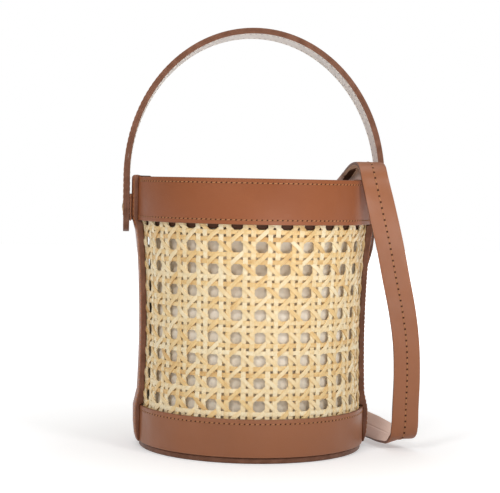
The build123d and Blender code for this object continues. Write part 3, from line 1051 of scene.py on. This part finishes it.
class BARREL_OT_facing(bpy.types.Operator):
    """Make the stepped leather ring inside the rim"""

    bl_idname = "barrel.facing"
    bl_label = "Rim facing"

    def execute(self, context):
        body = sizes("body")
        step = body.facing_step
        behind = UPPER_R - body.upper_t
        thin = cane_radius(body.facing_low) - body.facing_gap
        corners = [
            (body.facing_r, body.facing_low), (thin, body.facing_low), (thin, step),
            (behind, step), (behind, RIM_Z), (body.facing_r, RIM_Z),
        ]
        outside = body.facing_r + 0.1 * MM
        bm = spun(rounded(corners, body.edge_round), 0.0, math.tau, 180)
        paint(bm, lambda middle: middle.z > RIM_Z - body.edge_paint, 1)
        # The facing's outside below the step takes the dark colour: painted shadow under the upper band,
        # seen through the cane
        paint(bm, lambda middle: middle.xy.length > outside and middle.z < step, 2)
        piece(
            "rim_facing_leather", bm, ["tan_leather", "edge_paint", "leather_painted_shade"], "root", "leather",
            ["rim_facing"],
        )
        return {"FINISHED"}


class BARREL_OT_cane(bpy.types.Operator):
    """Weave the front and back panels of cane, strand by strand"""

    bl_idname = "barrel.cane"
    bl_label = "Cane panels"

    def execute(self, context):
        cane = sizes("cane")
        sets = (
            ("uprights", paired_strands, True),
            ("hoops", paired_strands, False),
            ("rising", diagonal_strands, 1),
            ("falling", diagonal_strands, -1),
        )
        for name, weave, which in sets:
            for side, turn in (("front", 0), ("back", math.pi)):
                bm = weave(which)
                bm.normal_update()
                for face in bm.faces:
                    if face.normal.dot(face.calc_center_median().xy.to_3d()) < 0:
                        face.normal_flip()
                bmesh.ops.rotate(bm, cent=(0, 0, 0), matrix=Matrix.Rotation(turn, 3, "Z"), verts=bm.verts)
                made = piece(
                    f"cane_{name}_{side}", bm, ["split_cane"], "root", "cane",
                    [f"cane_panel_{side}"],
                )
                thicken(made, cane.strand_t)
        return {"FINISHED"}


class BARREL_OT_strips(bpy.types.Operator):
    """Make the side strips that cover the seams and fold over the rim"""

    bl_idname = "barrel.strips"
    bl_label = "Side strips"

    def execute(self, context):
        body = sizes("body")
        for side, middle in SIDES:
            bm = spun(strip_outline(), middle - body.strip_half, 2 * body.strip_half, 14)
            for face in bm.faces:
                face.material_index = int(len(face.verts) > 4)
            made = piece(
                f"side_strip_leather_{side}", bm, ["tan_leather", "edge_paint"], "root", "leather",
                [f"side_strip_{side}"],
            )
            finish_edges(made, body.edge_round)
        return {"FINISHED"}


def strip_outside():
    """(radius, z) down the outer face of a side strip, from the rim to its foot."""
    body = sizes("body")
    shoulder = UPPER_R + body.strip_t - GAP
    lower = LOWER_R + body.strip_t
    flare_low, flare_run, flare_out = 128, 30, 1.6 * MM
    points = [(shoulder, RIM_Z - 1.0 * MM), (shoulder, UPPER_LOW + 3 * MM)]
    for z in (146, 138, 128, 116, 104, 92, 80, 68, 56, 46, 38):
        flare = max(0.0, (z - flare_low) / flare_run) ** 1.5 * flare_out
        points.append((cane_radius(z * MM) + body.strip_t + flare, z * MM))
    points += [(lower + 0.1 * MM, 27 * MM), (lower, 16 * MM), (lower - 0.8 * MM, 8 * MM)]
    return points


def strip_outline():
    """(radius, z) round the section of a side strip, which hooks over the rim."""
    body = sizes("body")
    top = RIM_Z + 1.2 * MM
    inner = body.facing_r - 1.5 * MM
    shoulder = UPPER_R + body.strip_t - GAP
    lower = LOWER_R + GAP
    sink = 0.5 * MM
    inside = [(lower, body.strip_low), (lower, LOWER_TOP + 0.2 * MM)]
    for z in (29.5, 44, 60, 76, 93, 110, 128, 144, 152):
        inside.append((cane_radius(z * MM) - sink, z * MM))
    inside += [
        (UPPER_R + GAP, UPPER_LOW - 0.2 * MM), (UPPER_R + GAP, RIM_Z + GAP),
        (body.facing_r - GAP, RIM_Z + GAP), (body.facing_r - GAP, body.facing_low),
        (inner, body.facing_low), (inner, RIM_Z + 0.1 * MM),
        (inner + 0.6 * MM, RIM_Z + 0.5 * MM), (UPPER_R - 1.6 * MM, RIM_Z + 0.55 * MM),
        (shoulder - 2.3 * MM, top - 0.1 * MM), (shoulder - 1.1 * MM, top - 0.35 * MM),
        (shoulder - 0.3 * MM, top - 1.1 * MM),
    ]
    return inside + strip_outside() + [(lower + body.strip_t - 2.0 * MM, body.strip_low)]


class BARREL_OT_lining(bpy.types.Operator):
    """Hang the cloth lining in soft folds inside the cane, its hem against the rim facing"""

    bl_idname = "barrel.lining"
    bl_label = "Lining"

    def execute(self, context):
        lining = sizes("lining")
        waist = sizes("cane").waist_z
        low = FLOOR_Z + 0.2 * MM
        height = lining.high - low
        flare_run = lining.flare_high - lining.flare_low
        strip_edge, strip_fade = math.radians(11.5), math.radians(5)

        # The folds deepen towards the hem, and die out at its edge and at the floor
        def place(u, v):
            angle = u * math.tau
            z = low + height * v
            ring = Vector((math.cos(angle), math.sin(angle), 0))
            folds = noise.noise(ring * 5.5 + UP * v * 1.3) + 0.5 * noise.noise(ring * 13 + UP * v * 2)
            slump = noise.noise(ring * 3 + UP * v * 7) + 0.5
            high_folds = 2.6 * max(0.0, v - 0.55) * (1 - max(0.0, v - 0.93) / 0.07)
            foot = min(1.0, v / 0.06)
            clear = 1.6 * ((z - waist) / (80 * MM)) ** 2 * abs(ring.y)
            inward = (0.3 + clear + 0.5 * max(0.0, slump) + abs(folds) * (0.6 + 3 * high_folds)) * foot * MM
            off_strip = eased((math.asin(abs(ring.y)) - strip_edge) / strip_fade)
            hem = eased((z - lining.flare_low) / flare_run) * off_strip
            return polar(angle, lining.radius + lining.flare * hem - inward * (1 - hem), z)

        bm = bmesh.new()
        warped_grid(bm, 220, 70, place)
        bmesh.ops.remove_doubles(bm, verts=bm.verts, dist=1e-6)
        bmesh.ops.recalc_face_normals(bm, faces=bm.faces)
        made = piece("lining_cloth_wall", bm, ["lining_cloth"], "root", "lining", ["liner_wall"])
        thicken(made, lining.thick)
        for name, finish in (
            ("liner_floor", "lining_cloth"), ("base_board", "fibre_board"),
            ("seam_backing_left", "fibre_board"), ("seam_backing_right", "fibre_board"),
        ):
            dress(name, finish)
        return {"FINISHED"}


def dress(node_name, finish):
    """Gives a CAD node that stays its finish."""
    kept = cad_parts[node_name]
    kept.data.materials.clear()
    kept.data.materials.append(finish_named(finish))


class BARREL_OT_handle(bpy.types.Operator):
    """Make the handle's two laminated plies"""

    bl_idname = "barrel.handle"
    bl_label = "Handle"

    def execute(self, context):
        handle = sizes("handle")
        plans = (
            ("handle_outer", 0.0, ["tan_leather", "edge_paint", "edge_paint"], "leather"),
            ("handle_inner", handle.ply, ["edge_paint", "underside_painted_light", "edge_paint"], "leather_back"),
        )
        for name, inset, finishes, slot in plans:
            line = handle_line(inset)
            bm = bmesh.new()
            round_ended(bm, line, handle.width, 260, 6)
            face_outwards(bm, line)
            made = piece(f"{name}_ply", bm, finishes, "handle", slot, [name])
            shell = thicken(made, handle.ply - GAP)
            shell.material_offset = 1
            shell.material_offset_rim = 2
            finish_edges(made, handle.edge_round)
        return {"FINISHED"}


class BARREL_OT_rivets(bpy.types.Operator):
    """Make the rivets' domed heads and inner caps"""

    bl_idname = "barrel.rivets"
    bl_label = "Rivets"

    def execute(self, context):
        post = 2.0 * MM
        seat = HANDLE_X + GAP
        for side, sign in (("left", -1), ("right", 1)):
            low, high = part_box(f"rivet_{side}")
            outer = high.x if sign > 0 else -low.x
            cap_low, cap_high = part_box(f"rivet_cap_{side}")
            cap_inner = min(abs(cap_low.x), abs(cap_high.x))
            cap_outer = max(abs(cap_low.x), abs(cap_high.x))
            head = [
                (cap_outer, 0.0), (cap_outer, post), (seat, post), (seat, RIVET_HEAD_R),
                (HANDLE_X + 0.35 * MM, RIVET_HEAD_R - 0.1 * MM),
                (outer - 0.15 * MM, 0.55 * RIVET_HEAD_R), (outer, 0.0),
            ]
            cap = [
                (cap_inner, 0.0), (cap_inner + 0.2 * MM, 2.6 * MM), (cap_outer, 3.6 * MM), (cap_outer, 0.0),
            ]
            for name, outline in ((f"rivet_{side}", head), (f"rivet_cap_{side}", cap)):
                bm = bmesh.new()
                verts = [bm.verts.new((sign * x, 0, RIVET_Z + r)) for x, r in outline]
                edges = [bm.edges.new(pair) for pair in zip(verts, verts[1:])]
                bmesh.ops.spin(
                    bm, geom=verts + edges, cent=(0, 0, RIVET_Z), axis=(1, 0, 0),
                    angle=math.tau, steps=28, use_merge=True,
                )
                bmesh.ops.remove_doubles(bm, verts=bm.verts, dist=1e-6)
                bmesh.ops.holes_fill(bm, edges=bm.edges, sides=0)
                bmesh.ops.recalc_face_normals(bm, faces=bm.faces)
                piece(f"{name}_metal", bm, ["aged_metal"], "root", "rivet", [name])
        return {"FINISHED"}


class BARREL_OT_strap(bpy.types.Operator):
    """Make the shoulder strap: one turned strip, its edges meeting in a butt seam on the reverse"""

    bl_idname = "barrel.strap"
    bl_label = "Shoulder strap"

    def execute(self, context):
        strap = sizes("strap")
        line = strap_line()
        bm = bmesh.new()
        uv_layer = bm.loops.layers.uv.new("strand")
        turn = line.at[STRAP_TURN * ROUTE_STEPS]

        def gape(length):
            """Half the width of the open seam, as a share of half the strap's width."""
            return strap.gape / strap.width * math.exp(-((length - turn) / strap.gape_reach) ** 4)

        def seam_at(length):
            """Where the seam runs: in the middle, but pulled aside where it gapes."""
            return strap.pull * math.exp(-((length - turn) / strap.pull_reach) ** 4)

        def thickness(length):
            end = min(length, line.length - length)
            share = min(max((end - strap.flat_end) / strap.taper, 0.0), 1.0)
            return strap.thin + (strap.thick - strap.thin) * share

        def lifted(side):
            def place(u, v):
                length = u * line.length
                point, _, across, face = line.read(length)
                half = thickness(length) / 2
                across_share = 2 * v - 1
                turned = half * (1 - 0.2 * abs(across_share) ** 9)
                opened = gape(length)
                depth = strap.seam + strap.gape_depth * opened
                beside = (across_share - seam_at(length)) / (0.035 + opened)
                seam = depth * math.exp(-beside**4) if side < 0 else 0.0
                return point + across * across_share * strap.width / 2 + face * side * (turned - seam)
            return place

        maps = [(uv_layer, lambda u, v: (u * line.length, v * strap.width))]
        for index, side in enumerate((1, -1)):
            for vert in warped_grid(bm, 520, 30, lifted(side), maps):
                for face in vert.link_faces:
                    face.material_index = index
        rims = [edge for edge in bm.edges if edge.is_boundary]
        bmesh.ops.bridge_loops(bm, edges=rims)
        bmesh.ops.recalc_face_normals(bm, faces=bm.faces)
        painted = 0.47
        for face in bm.faces:
            sides = [abs(loop[uv_layer].uv.y / strap.width - 0.5) for loop in face.loops]
            if min(sides) > painted:
                face.material_index = 2
            place = sum((loop[uv_layer].uv for loop in face.loops), Vector((0, 0))) / len(face.loops)
            beside = abs(2 * place.y / strap.width - 1 - seam_at(place.x))
            # The open seam's faces take the dark colour: painted shade inside the fold, on top of the seam's
            # real depth
            if face.material_index == 1 and beside < gape(place.x):
                face.material_index = 3
        # The strap's face takes the tan with painted sheen and bounce light
        piece(
            "shoulder_strap_leather", bm, ["sheen_painted_leather", "reverse_leather", "edge_paint", "leather_painted_shade"],
            "root", "leather", ["shoulder_strap"],
        )
        return {"FINISHED"}


class BARREL_OT_stitches(bpy.types.Operator):
    """Sew every row of stitches"""

    bl_idname = "barrel.stitches"
    bl_label = "Stitches"

    def execute(self, context):
        self.band_rows()
        self.strip_rows()
        self.handle_rows()
        self.strap_row()
        return {"FINISHED"}

    def band_rows(self):
        sewn = sizes("stitches")
        rows = (
            ("rim", UPPER_R, RIM_Z - sewn.inset),
            ("upper_band_low", UPPER_R, UPPER_LOW + sewn.inset),
            ("lower_band_top", LOWER_R, LOWER_TOP - sewn.inset),
        )
        for name, radius, z in rows:
            bm = bmesh.new()

            def place(length):
                angle = length / radius
                out = Vector((math.cos(angle), math.sin(angle), 0))
                return out * radius + UP * z, UP.cross(out), out

            look = (0.9 * sewn.thread, sewn.slant, 1.15 * sewn.hole, 0.9 * sewn.hole)
            stitch_row(bm, place, math.tau * radius, sewn.band, look, closed=True)
            piece(f"stitches_{name}", bm, ["thread", "needle_hole_painted_shade"], "root", "leather")

    def strip_rows(self):
        sewn = sizes("stitches")
        body = sizes("body")
        line = Line([(Vector((radius, 0, z)), Vector((1, 0, 0))) for radius, z in strip_outside()])
        for side, middle in SIDES:
            bm = bmesh.new()
            for sign in (-1, 1):
                def place(length, sign=sign, middle=middle):
                    point, along, _, _ = line.read(length)
                    angle = middle + sign * (body.strip_half - sewn.strip_inset / point.x)
                    turn = Matrix.Rotation(angle, 3, "Z")
                    out = turn @ Vector((-along.z, 0, along.x)) * (1 if along.z < 0 else -1)
                    return turn @ Vector((point.x, 0, point.z)), turn @ along, out.normalized()
                look = (sewn.thread, sewn.slant * sign, sewn.hole, 0.7 * sewn.hole)
                stitch_row(bm, place, line.length, sewn.strip, look)
            piece(f"stitches_side_strip_{side}", bm, ["thread", "needle_hole_painted_shade"], "root", "leather")

    def handle_rows(self):
        sewn = sizes("stitches")
        handle = sizes("handle")
        for name, inset, facing in (("outer", 0.0, 1), ("inner", 2 * handle.ply, -1)):
            line = handle_line(inset)
            bm = bmesh.new()
            for sign in (-1, 1):
                aside = sign * (handle.width / 2 - sewn.handle_inset)

                def place(length, aside=aside):
                    point, along, across, face = line.read(sewn.handle_trim + length)
                    return point + across * aside, along, face * facing

                look = (sewn.thread, sewn.slant * sign, sewn.hole, 0.7 * sewn.hole)
                stitch_row(bm, place, line.length - 2 * sewn.handle_trim, sewn.handle, look)
            thread = "thread" if facing > 0 else "pale_thread"
            piece(f"stitches_handle_{name}", bm, [thread, "needle_hole_painted_shade"], "handle", "leather")

    def strap_row(self):
        sewn = sizes("stitches")
        strap = sizes("strap")
        line = strap_line()
        bm = bmesh.new()

        def place(length):
            point, along, _, face = line.read(sewn.strap_trim + length)
            return point + face * strap.thick / 2, along, face

        look = (0.95 * sewn.thread, 0.0, 1.4 * sewn.hole, 1.25 * sewn.hole)
        stitch_row(bm, place, line.length - 2 * sewn.strap_trim, sewn.strap, look)
        piece("stitches_strap", bm, ["thread", "needle_hole_painted_shade"], "root", "leather")


OPERATORS = (
    BARREL_OT_stage,
    BARREL_OT_base,
    BARREL_OT_bands,
    BARREL_OT_facing,
    BARREL_OT_cane,
    BARREL_OT_strips,
    BARREL_OT_lining,
    BARREL_OT_handle,
    BARREL_OT_rivets,
    BARREL_OT_strap,
    BARREL_OT_stitches,
)


class BARREL_PT_panel(bpy.types.Panel):
    """Lists the pieces of the bag"""

    bl_idname = "BARREL_PT_panel"
    bl_label = "Barrel bag"
    bl_space_type = "VIEW_3D"
    bl_region_type = "UI"
    bl_category = "Barrel bag"

    def draw(self, context):
        for operator in OPERATORS:
            self.layout.operator(operator.bl_idname)


GROUPS = {
    "body": BodySizes,
    "cane": CaneSizes,
    "lining": LiningSizes,
    "handle": HandleSizes,
    "strap": StrapSizes,
    "stitches": StitchSizes,
    "colours": FinishColours,
    "stage": StageSettings,
}


def register():
    for kind in (*GROUPS.values(), *OPERATORS, BARREL_PT_panel):
        bpy.utils.register_class(kind)
    for name, group in GROUPS.items():
        setattr(bpy.types.Scene, "barrel_bag_" + name, PointerProperty(type=group))


def unregister():
    for name in GROUPS:
        delattr(bpy.types.Scene, "barrel_bag_" + name)
    for kind in reversed((*GROUPS.values(), *OPERATORS, BARREL_PT_panel)):
        bpy.utils.unregister_class(kind)


def main():
    register()
    for operator in OPERATORS:
        module, name = operator.bl_idname.split(".")
        getattr(getattr(bpy.ops, module), name)()


if __name__ == "__main__":
    main()
